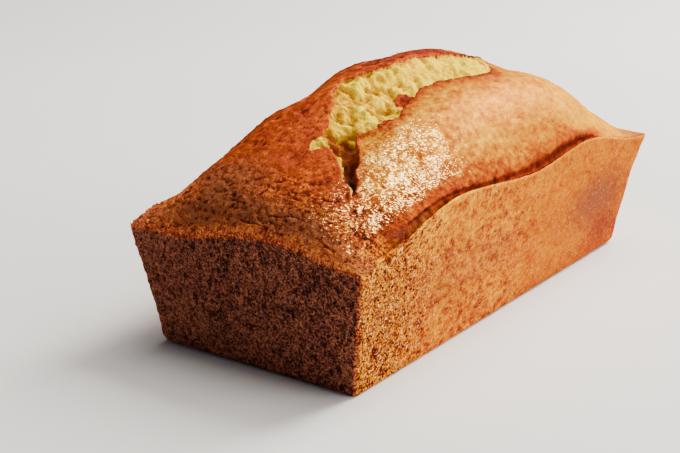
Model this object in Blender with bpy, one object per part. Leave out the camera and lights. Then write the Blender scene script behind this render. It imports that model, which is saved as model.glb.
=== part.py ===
"""A whole zucchini bread, baked in a 25 cm loaf tin and turned out: one solid.

Metres, +Z up. The origin is the middle of the flat underside, +X runs along the loaf and +Y across it.
The near end is at -X and the near side at -Y. The crust burst along the top while it baked, so the
solid has a raised flap, a lower flap and a band of torn crumb between them.
"""

import math

import bmesh
import bpy
from mathutils import Vector, noise

# Driving sizes
RIM_LENGTH = 0.249
RIM_WIDTH = 0.116
CORNER_HEIGHT = 0.0546
WALL_LEAN = 0.143  # outward run of a wall for each metre of height, about 8 degrees
BASE_HALF_LENGTH = RIM_LENGTH / 2 - WALL_LEAN * CORNER_HEIGHT
BASE_HALF_WIDTH = RIM_WIDTH / 2 - WALL_LEAN * CORNER_HEIGHT

# Each upright corner: its radius at the base and at the rim, how far its top flares out as the tin's
# corner shaped it, and the fillet under it
CORNERS = {
    (-1, -1): (0.0020, 0.0015, 0.0006, 0.0012),
    (-1, 1): (0.0042, 0.0020, 0.0006, 0.0040),
    (1, -1): (0.0050, 0.0020, 0.0020, 0.0035),
    (1, 1): (0.0050, 0.0020, 0.0014, 0.0040),
}
EAR_HEIGHT = 0.020
EAR_REACH = 0.014

# Rise of each wall's top edge above the corners. The first number is the place along that wall,
# from -1 to 1, and the edge eases from one of these to the next.
NEAR_SIDE_RISE = ((-1, 0.0), (-0.45, 0.0148), (0.11, 0.0083), (0.45, 0.0124), (1, 0.0010))
FAR_SIDE_RISE = ((-1, -0.0006), (-0.86, 0.0034), (-0.70, 0.0046), (-0.25, 0.0125), (0.35, 0.0105), (1, 0.0))
NEAR_END_RISE = ((-1, 0.0), (-0.21, 0.0062), (0.62, -0.0006), (1, -0.0004))
FAR_END_RISE = ((-1, 0.0), (0.10, 0.0066), (1, 0.0))
RIM_CARRY_ALONG, RIM_CARRY_ACROSS = 8, 5  # powers by which the rim's rise dies away inwards

# The dome rises over the rim as one curve along the loaf times one across it. Each curve is
# (1 - share ** fullness) ** softness, with share running from 0 at the middle to 1 at the rim.
DOME_RISE = 0.049
DOME_MIDDLE = (0.003, -0.005)
NEAR_FULLNESS, NEAR_SOFTNESS = 1.54, 0.59
FAR_FULLNESS, FAR_SOFTNESS = 2.86, 1.06
SIDE_FULLNESS, SIDE_SOFTNESS = 4.3, 1.77
DOME_TILT, TILT_REACH = 0.0032, 0.01  # the far half stands this much higher

# Broad lumps and hollows of the dome: x, y, reach, height
LUMPS = (
    (-0.064, 0.034, 0.010, 0.0008),
    (-0.040, 0.030, 0.011, -0.0026),
    (-0.012, 0.026, 0.009, 0.0010),
    (0.012, 0.019, 0.008, -0.0012),
    (0.062, -0.004, 0.014, -0.0026),
    (0.101, -0.038, 0.010, -0.0016),
)

# The crease between a wall's top edge and the foot of the dome: its depth along each wall
CREASE_INSET, CREASE_WIDTH = 0.0038, 0.0013
NEAR_SIDE_CREASE = ((-0.92, 0.0), (-0.74, 0.0050), (0.50, 0.0050), (0.68, 0.0))
FAR_SIDE_CREASE = ((-0.80, 0.0), (-0.50, 0.0044), (0.30, 0.0044), (0.72, 0.0))
FOOT_BULGE, FOOT_INSET, FOOT_WIDTH = 0.30, 0.0062, 0.0018  # the bulge is a share of the crease's depth
END_CREASE_INSET, END_CREASE_WIDTH = 0.0038, 0.0017
END_CREASE = ((-0.75, 0.0), (-0.35, 0.0010), (0.25, 0.0010), (0.70, 0.0))

# The burst: its raised edge and its lower edge, as x and y, from its near tip to its far tip
RAISED_EDGE = (
    (-0.0990, -0.0364), (-0.0930, -0.0270), (-0.0850, -0.0195), (-0.0785, -0.0120), (-0.0755, -0.0040),
    (-0.0630, 0.0005), (-0.0510, 0.0067), (-0.0400, 0.0130), (-0.0330, 0.0142), (-0.0280, 0.0100),
    (-0.0080, 0.0030), (0.0200, -0.0014), (0.0280, -0.0055), (0.0360, -0.0080), (0.0450, -0.0140),
)
LOWER_EDGE = (
    (-0.0990, -0.0366), (-0.0930, -0.0343), (-0.0800, -0.0262), (-0.0690, -0.0172), (-0.0640, -0.0160),
    (-0.0580, -0.0215), (-0.0420, -0.0215), (-0.0300, -0.0175), (-0.0120, -0.0145), (0.0100, -0.0198),
    (0.0270, -0.0245), (0.0360, -0.0210), (0.0450, -0.0145),
)
BURST_START, BURST_END = RAISED_EDGE[0][0], RAISED_EDGE[-1][0]
TIP_LENGTH = 0.008
JAG_HEIGHTS = ((0.007, 0.0012), (0.0032, 0.0006))  # wavelength and height of the torn edges' wander

# How far the raised flap lifts off the dome, and how deep the burst is, along x
FLAP_LIFT = (
    (-0.0780, 0.0), (-0.0500, 0.0018), (-0.0300, 0.0019), (0.0, 0.0044),
    (0.0300, 0.0047), (0.0400, 0.0042), (0.0480, 0.0),
)
FLAP_REACH, FLAP_CURL = 0.0095, 1.5
LOWER_LIP_LIFT, LOWER_LIP_REACH = 0.0007, 0.004
BURST_DEPTH = (
    (-0.0990, 0.0), (-0.0920, 0.0070), (-0.0800, 0.0100), (-0.0660, 0.0096),
    (-0.0560, 0.0042), (-0.0300, 0.0026), (0.0200, 0.0018), (0.0450, 0.0),
)
WALL_SHARE = ((-0.0800, 0.22), (-0.0620, 0.20), (-0.0500, 0.10))  # of the burst's width, for its steep wall
WALL_BOW, SLOPE_BOW = 0.6, 0.8
CRUST_THICKNESS = 0.0012
NARROW_BURST = 0.006
CRUMB_LUMPS = ((0.0075, 0.0009), (0.0038, 0.0005))

# Soft swells of the crust, as wavelength and height. They die away towards the rim and the base.
SWELLS = ((0.034, 0.0007), (0.015, 0.0004))
RIM_FADE, BASE_FADE = 0.008, 0.020

# Mesh rows: along, across and up the loaf
ROWS_ALONG, ROWS_ACROSS, ROWS_UP = 66, 38, 8
FILLET_ROWS = 2
CROWDING_ALONG, CROWDING_ACROSS = 0.5, 0.62
BURST_MARGIN = 0.005
SNAP_REACH = 0.00085  # a vertex this near to a torn edge is moved onto it
FLUSH = 1 - 1e-5  # beyond this a vertex of the block, which runs from -1 to 1, is on its outer face

CRUST_COLOUR = (0.42, 0.135, 0.025, 1.0)
CRUST_ROUGHNESS = 0.5


def clear_scene():
    for obj in list(bpy.data.objects):
        bpy.data.objects.remove(obj)


def eased(share):
    share = min(max(share, 0.0), 1.0)
    return share * share * (3 - 2 * share)


def between(stations, place, ease):
    """The value at a place between stations: eased from each to the next, or in straight lines."""
    if place <= stations[0][0]:
        return stations[0][1]
    for (start, first), (end, last) in zip(stations, stations[1:]):
        if place <= end:
            share = (place - start) / (end - start)
            return first + (last - first) * (eased(share) if ease else share)
    return stations[-1][1]


def fade_out(distance, reach):
    return math.exp(-((distance / reach) ** 2))


def wander(place, waves, seed):
    """Smooth uneven noise, as the sum of some waves of a wavelength and a height."""
    return sum(
        height * noise.noise(place / wavelength + Vector((seed, 11.3 * index, 4.1)))
        for index, (wavelength, height) in enumerate(waves)
    )


def crowded(share, crowding):
    """Moves a place from -1 to 1 so that rows stand closer near the edges."""
    inward = 1 - abs(share)
    return math.copysign(1 - inward * (crowding + (1 - crowding) * inward), share)


def rim_rise(s, t):
    """Rise of the rim over the corners, blended from all four walls. s and t run from -1 to 1."""
    sides = between(NEAR_SIDE_RISE, s, True) * (1 - t) / 2 + between(FAR_SIDE_RISE, s, True) * (1 + t) / 2
    ends = between(NEAR_END_RISE, t, True) * (1 - s) / 2 + between(FAR_END_RISE, t, True) * (1 + s) / 2
    return sides + ends


def half_sizes(height):
    return BASE_HALF_LENGTH + WALL_LEAN * height, BASE_HALF_WIDTH + WALL_LEAN * height


def plan_place(s, t, height, inset, top):
    """x and y of a place in the loaf's outline at a height, with rounded upright corners and ears."""
    half_length, half_width = half_sizes(height)
    side_x, side_y = math.copysign(1, s), math.copysign(1, t)
    base_radius, rim_radius, flare, _ = CORNERS[(side_x, side_y)]
    radius = base_radius + (rim_radius - base_radius) * eased(height / top)
    from_corner = math.hypot((1 - abs(s)) * half_length, (1 - abs(t)) * half_width)
    ear = flare * fade_out(from_corner, EAR_REACH) * eased((height - top + EAR_HEIGHT) / EAR_HEIGHT)
    half_length += ear - inset
    half_width += ear - inset
    over_x = abs(s) * half_length - (half_length - radius)
    over_y = abs(t) * half_width - (half_width - radius)
    if over_x > 0 and over_y > 0:
        pull = max(over_x, over_y) / math.hypot(over_x, over_y)
        over_x, over_y = over_x * pull, over_y * pull
    return side_x * (half_length - radius + over_x), side_y * (half_width - radius + over_y)


def base_fillet(s, t):
    """Fillet under the walls, blended from the four corners."""
    near = CORNERS[(-1, -1)][3] * (1 - t) / 2 + CORNERS[(-1, 1)][3] * (1 + t) / 2
    far = CORNERS[(1, -1)][3] * (1 - t) / 2 + CORNERS[(1, 1)][3] * (1 + t) / 2
    return near * (1 - s) / 2 + far * (1 + s) / 2


def dome_height(x, y, halves):
    """Height over the rim of the dome before it burst."""
    middle_x, middle_y = DOME_MIDDLE
    half_length, half_width = halves
    if x < middle_x:
        share_x = (middle_x - x) / (half_length + middle_x)
        fullness, softness = NEAR_FULLNESS, NEAR_SOFTNESS
    else:
        share_x = (x - middle_x) / (half_length - middle_x)
        fullness, softness = FAR_FULLNESS, FAR_SOFTNESS
    share_y = abs(y - middle_y) / (half_width - math.copysign(1, y - middle_y) * middle_y)
    along = max(0.0, 1 - share_x**fullness) ** softness
    across = max(0.0, 1 - share_y**SIDE_FULLNESS) ** SIDE_SOFTNESS
    lumps = sum(h * fade_out(math.hypot(x - cx, y - cy), reach) for cx, cy, reach, h in LUMPS)
    return (DOME_RISE + DOME_TILT * math.tanh(y / TILT_REACH)) * along * across + lumps


def crease(s, t, halves):
    """Depth of the crease that runs inside the rim, and how far the dome's foot bulges over it."""
    from_end, from_side = (1 - abs(s)) * halves[0], (1 - abs(t)) * halves[1]
    side = between(NEAR_SIDE_CREASE if t < 0 else FAR_SIDE_CREASE, s, True)
    end = between(END_CREASE, t, True) * fade_out(from_end - END_CREASE_INSET, END_CREASE_WIDTH)
    bulge = FOOT_BULGE * side * fade_out(from_side - FOOT_INSET, FOOT_WIDTH)
    return side * fade_out(from_side - CREASE_INSET, CREASE_WIDTH) + end, bulge


def burst_edges(x):
    """y of the lower and of the raised edge."""
    fade = eased((x - BURST_START) / TIP_LENGTH) * eased((BURST_END - x) / TIP_LENGTH)
    lower = between(LOWER_EDGE, x, False) + fade * wander(Vector((x, 0, 0)), JAG_HEIGHTS, 7.0)
    raised = between(RAISED_EDGE, x, False) + fade * wander(Vector((x, 0, 0)), JAG_HEIGHTS, 1.0)
    return lower, max(raised, lower)


def crust_height(x, y, edges, halves):
    """The dome with the lift of the raised flap and the small lip of the lower one."""
    lower, raised = edges
    height = dome_height(x, y, halves)
    if y >= raised:
        return height + between(FLAP_LIFT, x, True) * math.exp(-(((y - raised) / FLAP_REACH) ** FLAP_CURL))
    span = eased((x - BURST_START) / FLAP_REACH) * eased((BURST_END - x) / FLAP_REACH)
    return height + LOWER_LIP_LIFT * span * math.exp(-max(lower - y, 0.0) / LOWER_LIP_REACH)


def burst_shape(share, x):
    """Depth across the burst, from 0 to 1: a steep wall at the lower edge, then a slope up."""
    wall = between(WALL_SHARE, x, True)
    if share < wall:
        return math.sin(math.pi / 2 * share / wall) ** WALL_BOW
    return 1 - eased((share - wall) / (1 - wall)) ** SLOPE_BOW


def top_height(x, y, halves):
    """Height over the rim of the burst dome."""
    edges = burst_edges(x)
    lower, raised = edges
    if not (BURST_START < x < BURST_END and lower < y < raised):
        return crust_height(x, y, edges, halves)
    share = (y - lower) / (raised - lower)
    low_side = crust_height(x, lower, edges, halves)
    high_side = crust_height(x, raised, edges, halves)
    openness = min(1.0, (raised - lower) / NARROW_BURST)
    depth = CRUST_THICKNESS * openness + between(BURST_DEPTH, x, True) * burst_shape(share, x)
    crumb = openness * wander(Vector((x, y, 0)), CRUMB_LUMPS, 3.0)
    return low_side + (high_side - low_side) * share - depth + crumb


def snapped(x, y):
    """Moves a vertex that is close to a torn edge onto it."""
    if BURST_START < x < BURST_END:
        for edge in burst_edges(x):
            if abs(y - edge) < SNAP_REACH:
                return edge
    return y


def top_place(s, t):
    rise = rim_rise(s, t)
    rim = CORNER_HEIGHT + rise
    halves = half_sizes(rim)
    x, y = plan_place(s, t, rim, 0.0, rim)
    y = snapped(x, y)
    carry = max(abs(s) ** RIM_CARRY_ALONG, abs(t) ** RIM_CARRY_ACROSS)
    depth, bulge = crease(s, t, halves)
    height = CORNER_HEIGHT + rise * carry + top_height(x, y, halves) - depth
    inward = min((1 - abs(s)) * halves[0], (1 - abs(t)) * halves[1])
    height += eased(inward / RIM_FADE) * wander(Vector((x, y, height)), SWELLS, 0.0)
    return Vector((x, y + math.copysign(bulge, t), height))


def wall_place(s, t, row):
    """A place on a wall. row counts up from the underside."""
    top, fillet = CORNER_HEIGHT + rim_rise(s, t), base_fillet(s, t)
    if row < FILLET_ROWS:
        turn = math.pi / 2 * row / FILLET_ROWS
        height = fillet * (1 - math.cos(turn))
        inset = fillet * (1 - math.sin(turn))
    else:
        height = fillet + (top - fillet) * (row - FILLET_ROWS) / (ROWS_UP - FILLET_ROWS)
        inset = 0.0
    x, y = plan_place(s, t, height, inset, top)
    fade = eased(height / BASE_FADE) * eased((top - height) / RIM_FADE)
    inset -= fade * wander(Vector((x, y, height)), SWELLS, 6.0)
    x, y = plan_place(s, t, height, inset, top)
    return Vector((x, y, height))


def under_place(s, t):
    x, y = plan_place(s, t, 0.0, base_fillet(s, t), CORNER_HEIGHT)
    return Vector((x, y, 0.0))


def split_edges(mesh, axis, rows):
    """Cuts every edge that runs along an axis into that many rows."""
    edges = [e for e in mesh.edges if abs((e.verts[0].co - e.verts[1].co)[axis]) > 1 - FLUSH]
    bmesh.ops.subdivide_edges(mesh, edges=edges, cuts=rows - 1, use_grid_fill=True)


def refine_burst(mesh):
    """Halves the faces of the top that the burst crosses."""
    edges = set()
    for face in mesh.faces:
        middle = face.calc_center_median()
        x = crowded(middle.x, CROWDING_ALONG) * RIM_LENGTH / 2
        y = crowded(middle.y, CROWDING_ACROSS) * RIM_WIDTH / 2
        lower, raised = burst_edges(x)
        along_burst = BURST_START - BURST_MARGIN < x < BURST_END + BURST_MARGIN
        if middle.z > FLUSH and along_burst and lower - BURST_MARGIN < y < raised + BURST_MARGIN:
            edges.update(face.edges)
    bmesh.ops.subdivide_edges(mesh, edges=list(edges), cuts=1, use_grid_fill=True)


def shape_block(mesh):
    """Moves every vertex of the gridded cube to its place on the loaf."""
    for vert in mesh.verts:
        s = crowded(vert.co.x, CROWDING_ALONG)
        t = crowded(vert.co.y, CROWDING_ACROSS)
        if max(abs(vert.co.x), abs(vert.co.y)) > FLUSH:
            vert.co = wall_place(s, t, (vert.co.z + 1) / 2 * ROWS_UP)
        elif vert.co.z > 0:
            vert.co = top_place(s, t)
        else:
            vert.co = under_place(s, t)


def crust_material():
    material = bpy.data.materials.new("baked_crust")
    material.use_nodes = True
    shader = material.node_tree.nodes["Principled BSDF"]
    shader.inputs["Base Color"].default_value = CRUST_COLOUR
    shader.inputs["Roughness"].default_value = CRUST_ROUGHNESS
    shader.inputs["Metallic"].default_value = 0.0
    return material


def build_loaf():
    mesh = bmesh.new()
    bmesh.ops.create_cube(mesh, size=2)
    for axis, rows in enumerate((ROWS_ALONG, ROWS_ACROSS, ROWS_UP)):
        split_edges(mesh, axis, rows)
    refine_burst(mesh)
    shape_block(mesh)
    bmesh.ops.recalc_face_normals(mesh, faces=mesh.faces)
    data = bpy.data.meshes.new("loaf")
    mesh.to_mesh(data)
    mesh.free()
    data.shade_smooth()
    loaf = bpy.data.objects.new("loaf", data)
    loaf.data.materials.append(crust_material())
    bpy.context.scene.collection.objects.link(loaf)
    return loaf


clear_scene()
build_loaf()
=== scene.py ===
"""Looks of a whole zucchini bread: browned crust, burst top and torn crumb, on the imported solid's form."""

import math

import bmesh
import bpy
from mathutils import Matrix, Vector, noise


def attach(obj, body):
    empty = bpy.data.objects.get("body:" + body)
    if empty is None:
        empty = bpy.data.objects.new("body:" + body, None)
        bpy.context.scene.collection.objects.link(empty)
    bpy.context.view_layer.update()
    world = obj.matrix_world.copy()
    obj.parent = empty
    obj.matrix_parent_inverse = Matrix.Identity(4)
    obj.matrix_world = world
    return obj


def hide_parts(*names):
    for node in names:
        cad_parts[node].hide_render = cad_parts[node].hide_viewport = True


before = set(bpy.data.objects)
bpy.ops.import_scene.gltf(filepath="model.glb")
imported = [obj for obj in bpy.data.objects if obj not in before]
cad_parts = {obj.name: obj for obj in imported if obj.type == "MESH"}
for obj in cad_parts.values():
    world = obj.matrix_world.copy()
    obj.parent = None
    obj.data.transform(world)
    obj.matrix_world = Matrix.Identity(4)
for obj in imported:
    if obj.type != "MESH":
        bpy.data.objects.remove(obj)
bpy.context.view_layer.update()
noise.seed_set(1)  # noise_vector would give other pits on every run

# The form, in metres, as the solid has it. The near end is at -X and the near side at -Y.
RIM_LENGTH = 0.249
RIM_WIDTH = 0.116
CORNER_HEIGHT = 0.0546
WALL_LEAN = 0.143  # outward run of a wall for each metre of height, about 8 degrees
BASE_HALF_LENGTH = RIM_LENGTH / 2 - WALL_LEAN * CORNER_HEIGHT
BASE_HALF_WIDTH = RIM_WIDTH / 2 - WALL_LEAN * CORNER_HEIGHT

# Each upright corner: its radius at the base and at the rim, how far its top flares out as the tin's
# corner shaped it, and the fillet under it
CORNERS = {
    (-1, -1): (0.002, 0.0015, 0.0006, 0.0012),
    (-1, 1): (0.0042, 0.002, 0.0006, 0.004),
    (1, -1): (0.005, 0.002, 0.002, 0.0035),
    (1, 1): (0.005, 0.002, 0.0014, 0.004),
}
EAR_HEIGHT = 0.02
EAR_REACH = 0.014

# Rise of each wall's top edge above the corners. The first number is the place along that wall,
# from -1 to 1, and the edge eases from one of these to the next.
NEAR_SIDE_RISE = ((-1, 0.0), (-0.45, 0.0148), (0.11, 0.0083), (0.45, 0.0124), (1, 0.001))
FAR_SIDE_RISE = ((-1, -0.0006), (-0.86, 0.0034), (-0.7, 0.0046), (-0.25, 0.0125), (0.35, 0.0105), (1, 0.0))
NEAR_END_RISE = ((-1, 0.0), (-0.21, 0.0062), (0.62, -0.0006), (1, -0.0004))
FAR_END_RISE = ((-1, 0.0), (0.1, 0.0066), (1, 0.0))
RIM_CARRY_ALONG, RIM_CARRY_ACROSS = 8, 5  # powers by which the rim's rise dies away inwards

# The dome rises over the rim as one curve along the loaf times one across it. Each curve is
# (1 - share ** fullness) ** softness, with share running from 0 at the middle to 1 at the rim.
DOME_RISE = 0.049
DOME_MIDDLE = (0.003, -0.005)
NEAR_FULLNESS, NEAR_SOFTNESS = 1.54, 0.59
FAR_FULLNESS, FAR_SOFTNESS = 2.86, 1.06
SIDE_FULLNESS, SIDE_SOFTNESS = 4.3, 1.77
DOME_TILT, TILT_REACH = 0.0032, 0.01  # the far half stands this much higher

# Broad lumps and hollows of the dome: x, y, reach, height
LUMPS = (
    (-0.064, 0.034, 0.01, 0.0008),
    (-0.04, 0.03, 0.011, -0.0026),
    (-0.012, 0.026, 0.009, 0.001),
    (0.012, 0.019, 0.008, -0.0012),
    (0.062, -0.004, 0.014, -0.0026),
    (0.101, -0.038, 0.01, -0.0016),
)

# The crease between a wall's top edge and the foot of the dome: its depth along each wall
CREASE_INSET, CREASE_WIDTH = 0.0038, 0.0013
NEAR_SIDE_CREASE = ((-0.92, 0.0), (-0.74, 0.005), (0.5, 0.005), (0.68, 0.0))
FAR_SIDE_CREASE = ((-0.8, 0.0), (-0.5, 0.0044), (0.3, 0.0044), (0.72, 0.0))
FOOT_BULGE, FOOT_INSET, FOOT_WIDTH = 0.3, 0.0062, 0.0018  # the bulge is a share of the crease's depth
END_CREASE_INSET, END_CREASE_WIDTH = 0.0038, 0.0017
END_CREASE = ((-0.75, 0.0), (-0.35, 0.001), (0.25, 0.001), (0.7, 0.0))

# The burst: its raised edge and its lower edge, as x and y, from its near tip to its far tip
RAISED_EDGE = (
    (-0.099, -0.0364), (-0.093, -0.027), (-0.085, -0.0195), (-0.0785, -0.012), (-0.0755, -0.004),
    (-0.063, 0.0005), (-0.051, 0.0067), (-0.04, 0.013), (-0.033, 0.0142), (-0.028, 0.01),
    (-0.008, 0.003), (0.02, -0.0014), (0.028, -0.0055), (0.036, -0.008), (0.045, -0.014),
)
LOWER_EDGE = (
    (-0.099, -0.0366), (-0.093, -0.0343), (-0.08, -0.0262), (-0.069, -0.0172), (-0.064, -0.016),
    (-0.058, -0.0215), (-0.042, -0.0215), (-0.03, -0.0175), (-0.012, -0.0145), (0.01, -0.0198),
    (0.027, -0.0245), (0.036, -0.021), (0.045, -0.0145),
)
BURST_START, BURST_END = RAISED_EDGE[0][0], RAISED_EDGE[-1][0]
TIP_LENGTH = 0.008
JAG_HEIGHTS = ((0.007, 0.0012), (0.0032, 0.0006))  # wavelength and height of the torn edges' wander

# How far the raised flap lifts off the dome, and how deep the burst is, along x
FLAP_LIFT = (
    (-0.078, 0.0), (-0.05, 0.0018), (-0.03, 0.0019), (0.0, 0.0044),
    (0.03, 0.0047), (0.04, 0.0042), (0.048, 0.0),
)
FLAP_REACH, FLAP_CURL = 0.0095, 1.5
LOWER_LIP_LIFT, LOWER_LIP_REACH = 0.0007, 0.004
BURST_DEPTH = (
    (-0.099, 0.0), (-0.092, 0.007), (-0.08, 0.01), (-0.066, 0.0096),
    (-0.056, 0.0042), (-0.03, 0.0026), (0.02, 0.0018), (0.045, 0.0),
)
WALL_SHARE = ((-0.08, 0.22), (-0.062, 0.2), (-0.05, 0.1))  # of the burst's width, for its steep wall
WALL_BOW, SLOPE_BOW = 0.6, 0.8
CRUST_THICKNESS = 0.0012
NARROW_BURST = 0.006
CRUMB_LUMPS = ((0.0075, 0.0009), (0.0038, 0.0005))

# Soft swells of the crust, as wavelength and height. They die away towards the rim and the base.
SWELLS = ((0.034, 0.0007), (0.015, 0.0004))
RIM_FADE, BASE_FADE = 0.008, 0.02

# Finer waves of the torn edges
TORN_WAVES = ((0.0022, 0.0004),)

# Mesh rows along, across and up the loaf, before they are halved
ROWS = (100, 54, 25)
FILLET_SHARE = 0.14  # of the rows up a wall, for the fillet under it
NEAR_CROWDING = 0.22  # rows stand this much closer at the near end
CROWDING_ALONG, CROWDING_ACROSS = 0.72, 0.72
BURST_MARGIN = 0.004
FRONT_REACH, FLANK_REACH = -0.1, -0.05
SNAP_REACH = 0.0003
FLUSH = 1 - 1e-5  # a vertex further out than this is on a face of the cube
ON_FLOOR = 1e-6

# Cracks: points, depth and width
CRACKS = (
    (((-0.1172, 0.0285, 0.0655), (-0.1186, 0.024, 0.065), (-0.1192, 0.02, 0.0645),
      (-0.1203, 0.016, 0.0642), (-0.1208, 0.009, 0.0645), (-0.1216, 0.002, 0.0648),
      (-0.1222, -0.005, 0.0645)), 0.001, 0.0005),
    (((-0.1157, 0.0179, 0.069), (-0.1163, 0.0126, 0.07), (-0.1161, 0.0074, 0.0706),
      (-0.117, 0.0035, 0.0705)), 0.0007, 0.0004),
    (((-0.111, -0.0137, 0.074), (-0.1103, -0.0175, 0.0742), (-0.1118, -0.0212, 0.0731)), 0.0007, 0.0004),
    (((-0.1204, -0.037, 0.063), (-0.1213, -0.0393, 0.0619), (-0.1211, -0.0425, 0.0606)), 0.0011, 0.0005),
    (((-0.1063, -0.0588, 0.058), (-0.1071, -0.0583, 0.052), (-0.1066, -0.0577, 0.049),
      (-0.1076, -0.0572, 0.045)), 0.0009, 0.0005),
    (((-0.1243, 0.0071, 0.0535), (-0.124, 0.0066, 0.049)), 0.0009, 0.0006),
    (((-0.1246, -0.0098, 0.057), (-0.1238, -0.0101, 0.047)), 0.0009, 0.0005),
    (((-0.0874, -0.0546, 0.0641), (-0.0847, -0.0547, 0.0647), (-0.0812, -0.0548, 0.0656),
      (-0.0771, -0.055, 0.0663), (-0.0729, -0.0552, 0.0669), (-0.07, -0.0553, 0.0674)), 0.0009, 0.0006),
    (((-0.1243, -0.0378, 0.0535), (-0.1238, -0.0379, 0.049)), 0.0008, 0.0005),
)
CRACK_BREAKS = 0.0035  # wavelength of the gaps in a crack and of its small bends
CRACK_BEND = 0.0009
CRACK_MARGIN = 0.004

# Single pits: middle, radius and depth
PITS = (
    ((-0.0829, 0.0295, 0.084), 0.0013, 0.0012),
    ((-0.0866, 0.0218, 0.0851), 0.0015, 0.0014),
    ((-0.0874, 0.0165, 0.0857), 0.0012, 0.0012),
    ((-0.0673, 0.0176, 0.0929), 0.001, 0.001),
    ((-0.0629, 0.014, 0.0946), 0.001, 0.001),
    ((-0.0674, 0.0249, 0.0914), 0.0009, 0.0008),
    ((-0.0939, -0.0457, 0.0703), 0.0013, 0.0009),
    ((-0.045, -0.0215, 0.0922), 0.002, 0.0026),
    ((-0.0262, -0.015, 0.0957), 0.0026, 0.0026),
)

# Fine relief, as wavelength and height: of a wall, of a wall where its mesh is close, and of the top
WALL_WAVES = ((0.011, 0.00024), (0.006, 0.00012))
WALL_GRAIN = ((0.0034, 0.0002), (0.0017, 0.00034))
TOP_WAVES = ((0.0065, 0.0003), (0.003, 0.0003), (0.0015, 0.00026))

# Air pockets: their spacing and their depth, small and large in a wall, then in the top and the crumb
SMALL_POCKETS, LARGE_POCKETS, TOP_POCKETS, CRUMB_POCKETS = 0.0026, 0.0042, 0.0052, 0.0064
SMALL_DEPTH, LARGE_DEPTH, TOP_DEPTH, CRUMB_DEPTH = 0.0008, 0.001, 0.0005, 0.0015

# Small pillows of the front's crust: the size of one, their height, and the waves that bend them
PILLOW_SIZE, PILLOW_HEIGHT = (0.003, 0.0052, 0.0036), 0.00034
PILLOW_BENDS = (((0.004, 0.0015),), ((0.005, 0.0015),))

# Lumps of the crumb: size, height and seed. The large ones are softer beyond the burst's near end.
CRUMB_SWELLS = ((0.0088, 0.0056, 51.0), (0.0036, 0.0024, 61.0), (0.0017, 0.0013, 71.0))
CRUMB_PART, CRUMB_SINK = (-0.045, 0.035), 0.001

# How light each part of the crust is, from 0, burnt, to 1, pale. The colours of a ramp are set so that
# the darkest grains of a part stand near 0.25, most of it near 0.5 and its lightest grains near 0.75.
SIDE_TONE, NEAR_END_TONE, FAR_END_TONE, FLAP_TONE = 0.5, 0.51, 0.5, 0.36
DOME_TONE, BACK_TONE, FOOT_TONE, ISLAND_TONE = 0.5, 0.58, 0.45, 0.42
FRONT_TONE, GROOVE_TONE, SHELF_TONE, RIM_TONE, CORNER_TONE = 0.54, 0.55, 0.5, 0.66, 0.44
NEAR_LEDGE_TONE, LEDGE_TONE = 0.46, 0.6

# Tone of the near flank along x
FLANK_TONES = ((-0.11, 0.42), (-0.1, 0.5), (-0.086, 0.68), (-0.06, 0.7), (0.045, 0.7), (0.065, 0.8))

# Where the dome turns away to the back, as y along x
RIDGE = (
    (-0.11, 0.045), (-0.06, 0.034), (-0.02, 0.03), (0.03, 0.018), (0.045, 0.004),
    (0.062, -0.029), (0.09, -0.038),
)
RIDGE_MARGIN, RIDGE_WAVE, RIDGE_WANDER = 0.004, 0.02, 0.01

# Crust that clings to the crumb, and crumb that reaches over the crust: x, y, reach along, reach across
CRUST_ISLANDS = ((-0.0245, -0.0125, 0.0065, 0.0042), (-0.0465, -0.0185, 0.0065, 0.004))
CRUMB_TONGUE = (-0.0772, -0.005, 0.0064, 0.0026)
BROWN_PATCH = (-0.0708, -0.0075, 0.004, 0.0046)

# Patches of a side wall: x, z, reach along, reach up, how much lighter, and how dusky
SIDE_PATCHES = (
    (-0.11, 0.032, 0.024, 0.034, -0.05, 0.18),
    (-0.062, 0.034, 0.036, 0.014, 0.0, 0.24),
    (-0.02, 0.034, 0.022, 0.01, 0.0, 0.2),
    (-0.06, 0.06, 0.04, 0.012, 0.09, 0.0),
    (-0.01, 0.018, 0.02, 0.006, 0.05, 0.0),
    (0.016, 0.056, 0.022, 0.006, 0.05, 0.0),
    (0.067, 0.015, 0.012, 0.005, 0.04, 0.0),
    (0.084, 0.032, 0.025, 0.011, -0.13, 0.9),
    (0.098, 0.013, 0.024, 0.009, -0.15, 0.25),
)

# The dark line in the near side's crease, partly caramelised crust and partly painted shade: its height over
# the rim and half its width, along x. Near the corner the brown shelf under it rounds over onto the wall, by
# the drop.
CREASE_LINE_RISE = (
    (-0.106, 0.0034), (-0.0945, 0.0024), (-0.086, 0.0011), (-0.076, 0.0003), (-0.055, -0.0001),
    (-0.038, -0.0007), (0.003, 0.0004), (0.036, 0.0002), (0.08, 0.0),
)
CREASE_LINE_WIDTH = (
    (-0.106, 0.0002), (-0.0945, 0.0004), (-0.076, 0.0005), (-0.06, 0.0004), (-0.035, 0.0009),
    (0.003, 0.0014), (0.036, 0.0018), (0.055, 0.0014), (0.085, 0.0004),
)
FRINGE_REACH = ((-0.1, 0.0042), (-0.05, 0.0052), (0.02, 0.0066), (0.09, 0.005))
SHELF_DROP = ((-0.112, 0.0), (-0.106, 0.0034), (-0.099, 0.0013), (-0.088, 0.0))
CREASE_REACH = 0.016
OFF_LINE = 9.0  # the shelf mask of every place well away from the dark line

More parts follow.
